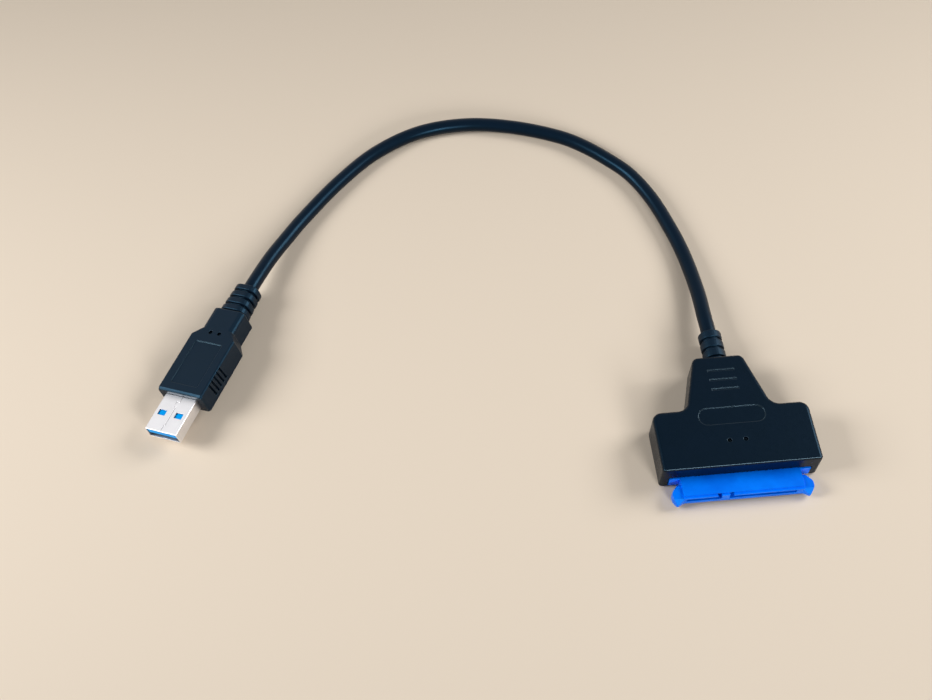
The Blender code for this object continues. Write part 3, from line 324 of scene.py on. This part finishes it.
def add_cord(material):
    start = Vector((CORD_OFFSET, RELIEF_END + GAP, CABLE_HEIGHT))
    lead_out = start + Vector((0, CORD_RADIUS, 0))
    lead_in = PLUG @ Vector((0, PLUG_RELIEF_END + GAP + CORD_RADIUS, 0))
    end = PLUG @ Vector((0, PLUG_RELIEF_END + GAP, 0))
    middle = [Vector(point) * MM for point in CORD_ROUTE]
    path, length = smooth_path([start, lead_out, *middle, lead_in, end], CORD_STEP)
    curve = bpy.data.curves.new("cord_jacket", "CURVE")
    curve.dimensions = "3D"
    curve.bevel_depth = CORD_RADIUS
    curve.bevel_resolution = CORD_BEVEL_STEPS
    curve.use_fill_caps = True
    spline = curve.splines.new("POLY")
    spline.points.add(len(path) - 1)
    for place, point in zip(spline.points, path):
        place.co = (*point, 1.0)
    spline.use_smooth = True
    curve.materials.append(material)
    cord = bpy.data.objects.new("cord_jacket", curve)
    bpy.context.scene.collection.objects.link(cord)
    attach(cord, "root")
    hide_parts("cord")
    print("cord length", round(length, 4))


def seen_rays(tree, kinds):
    """1 for a ray of one of the given kinds, 0 for the others."""
    path = tree.nodes.new("ShaderNodeLightPath")
    seen = path.outputs[kinds[0]]
    for kind in kinds[1:]:
        either = tree.nodes.new("ShaderNodeMath")
        either.operation = "MAXIMUM"
        tree.links.new(seen, either.inputs[0])
        tree.links.new(path.outputs[kind], either.inputs[1])
        seen = either.outputs["Value"]
    return seen


def fading_floor():
    """Lit near the object; further out the camera and reflections see its plain colour."""
    material = principled("floor", FLOOR_COLOUR, 0.7, specular=0.2)
    nodes = Nodes(material)
    distance = nodes.add("ShaderNodeVectorMath", operation="DISTANCE")
    nodes.link(nodes.place(), distance.inputs[0])
    distance.inputs[1].default_value = FLOOR_MIDDLE
    fade = nodes.add("ShaderNodeMapRange", interpolation_type="SMOOTHSTEP")
    fade.inputs["From Min"].default_value = FADE_START
    fade.inputs["From Max"].default_value = FADE_END
    nodes.link(distance.outputs["Value"], fade.inputs["Value"])
    share = nodes.add("ShaderNodeMath", operation="MULTIPLY")
    nodes.link(fade.outputs["Result"], share.inputs[0])
    nodes.link(seen_rays(nodes.tree, SEEN), share.inputs[1])
    plain = nodes.add("ShaderNodeEmission")
    plain.inputs["Color"].default_value = (*FLOOR_COLOUR, 1.0)
    mixed = nodes.add("ShaderNodeMixShader")
    nodes.link(share.outputs["Value"], mixed.inputs["Fac"])
    nodes.link(nodes.shader.outputs["BSDF"], mixed.inputs[1])
    nodes.link(plain.outputs["Emission"], mixed.inputs[2])
    nodes.link(mixed.outputs["Shader"], nodes.tree.nodes["Material Output"].inputs["Surface"])
    return material


def add_floor():
    far = FLOOR_HALF
    mesh = bpy.data.meshes.new("floor")
    mesh.from_pydata([(-far, -far, 0), (far, -far, 0), (far, far, 0), (-far, far, 0)], [], [(0, 1, 2, 3)])
    mesh.materials.append(fading_floor())
    floor = bpy.data.objects.new("floor", mesh)
    bpy.context.scene.collection.objects.link(floor)


def add_softbox(name, direction, distance, size, radiance, target):
    """A square soft light, seen from the target in the given direction."""
    way = Vector(direction).normalized()
    data = bpy.data.lights.new(name, "AREA")
    data.shape = "SQUARE"
    data.size = size
    data.energy = radiance * math.pi * size * size
    data.spread = SOFTBOX_SPREAD
    light = bpy.data.objects.new(name, data)
    light.location = Vector(target) + way * distance
    light.rotation_euler = way.to_track_quat("Z", "Y").to_euler()
    bpy.context.scene.collection.objects.link(light)


def pale_world():
    """A pale surround to the camera and in reflections, and a faint even light otherwise."""
    world = bpy.data.worlds.new("studio")
    world.use_nodes = True
    tree = world.node_tree
    background = tree.nodes["Background"]
    background.inputs["Color"].default_value = (1, 1, 1, 1)
    strength = tree.nodes.new("ShaderNodeMapRange")
    strength.inputs["To Min"].default_value = AMBIENT
    strength.inputs["To Max"].default_value = BACKGROUND
    tree.links.new(seen_rays(tree, SEEN), strength.inputs["Value"])
    tree.links.new(strength.outputs["Result"], background.inputs["Strength"])
    return world


def add_studio():
    bpy.context.scene.world = pale_world()
    for softbox in SOFTBOXES:
        add_softbox(*softbox)


def make_looks():
    """A finished material for each material slot of the record, for the tongue and for the smoother edges,
    whose lighter colour is a painted highlight.
    """
    cool = (0.22, 0.62, 1.0)  # the black plastics' reflections are blue
    looks = {}

    def plastic(slot, colour, roughness, grain=0.22 * MM, depth=0.006 * MM, specular=0.5, tint=(1, 1, 1)):
        material = principled(slot, colour, roughness, specular=specular, tint=tint)
        looks[slot] = moulded(material, colour, roughness, grain, depth)

    plastic("black_housing", (0.0008, 0.0020, 0.0060), 0.28, specular=0.22, tint=cool)
    plastic("black_soft", (0.0010, 0.0024, 0.0070), 0.42, specular=0.34, tint=cool)
    plastic("black_jacket", (0.0010, 0.0026, 0.0080), 0.30, 0.3 * MM, specular=0.24, tint=cool)
    plastic("blue_plastic", (0.0, 0.165, 1.0), 0.36, specular=0.33, tint=(0.05, 0.7, 1.0))
    plastic("tongue", (0.0, 0.36, 1.0), 0.34, specular=0.15, tint=cool)
    # edges: glossier than the faces, and painted lighter than them as a painted highlight
    plastic("housing_edges_painted_highlight", (0.002, 0.006, 0.014), 0.20, specular=0.55, tint=(0.5, 0.8, 1.0))
    plastic("grip_edges_painted_highlight", (0.001, 0.004, 0.010), 0.32, specular=0.42, tint=(0.4, 0.75, 1.0))
    plastic("chip_black", (0.02, 0.02, 0.02), 0.55, 0.1 * MM)
    plastic("ferrite_grey", (0.06, 0.06, 0.06), 0.6, 0.12 * MM)
    plastic("ceramic_tan", (0.45, 0.33, 0.20), 0.4, 0.1 * MM)
    plastic("mould_white", (0.75, 0.75, 0.72), 0.5)
    plastic("wire_red", (0.60, 0.02, 0.02), 0.4, 0.15 * MM)
    plastic("wire_black", (0.02, 0.02, 0.02), 0.4, 0.15 * MM)
    plastic("wire_green", (0.02, 0.30, 0.08), 0.4, 0.15 * MM)
    plastic("wire_blue", (0.03, 0.10, 0.60), 0.4, 0.15 * MM)
    plastic("wire_yellow", (0.70, 0.50, 0.03), 0.4, 0.15 * MM)
    for slot, colour, roughness, turn in (
        ("plated_steel", (0.86, 0.85, 0.87), 0.36, PLUG_YAW),
        ("can_steel", (0.70, 0.70, 0.72), 0.3, 0.0),
        ("contact_gold", (0.83, 0.60, 0.25), 0.24, 0.0),
    ):
        looks[slot] = stamped(principled(slot, colour, roughness, 1.0), colour, roughness, turn)
    mask = principled("board_green", (0.02, 0.16, 0.06), 0.35)
    looks["board_green"] = striped_board(mask, (0.015, 0.13, 0.05), (0.04, 0.24, 0.09))
    return looks


def dress(looks):
    for item in frame["record"]["subparts"]:
        mesh = frame["nodes"][item["node"]].data
        mesh.materials.clear()
        mesh.materials.append(looks[item["material_slot"]])
    frame["nodes"]["usb_tongue"].data.materials[0] = looks["tongue"]


def soften(node, width, highlight_edge_look):
    """Rounds the sharp edges of a frame node as it is shown; its mesh stays as it is."""
    obj = frame["nodes"][node]
    weld = obj.modifiers.new("weld", "WELD")
    weld.merge_threshold = WELD_REACH
    bevel = obj.modifiers.new("edges", "BEVEL")
    bevel.width = width
    bevel.segments = EDGE_SEGMENTS
    bevel.limit_method = "ANGLE"
    bevel.angle_limit = EDGE_ANGLE
    bevel.use_clamp_overlap = False
    bevel.harden_normals = True
    # the bevel's faces get the edge material, which is painted lighter as a painted highlight
    if highlight_edge_look:
        obj.data.materials.append(highlight_edge_look)
        bevel.material = 1


def soften_all(looks):
    """Softens the outer pieces; the black shells' edges are also smoother than their faces and painted
    lighter, a painted highlight.
    """
    for node, width in SOFT_EDGES.items():
        soften(node, width, looks.get(EDGE_HIGHLIGHT_LOOKS.get(node)))


bpy.context.scene.view_settings.view_transform = "Standard"
add_camera()
looks = make_looks()
dress(looks)
soften_all(looks)
add_cord(looks["black_jacket"])
add_floor()
add_studio()
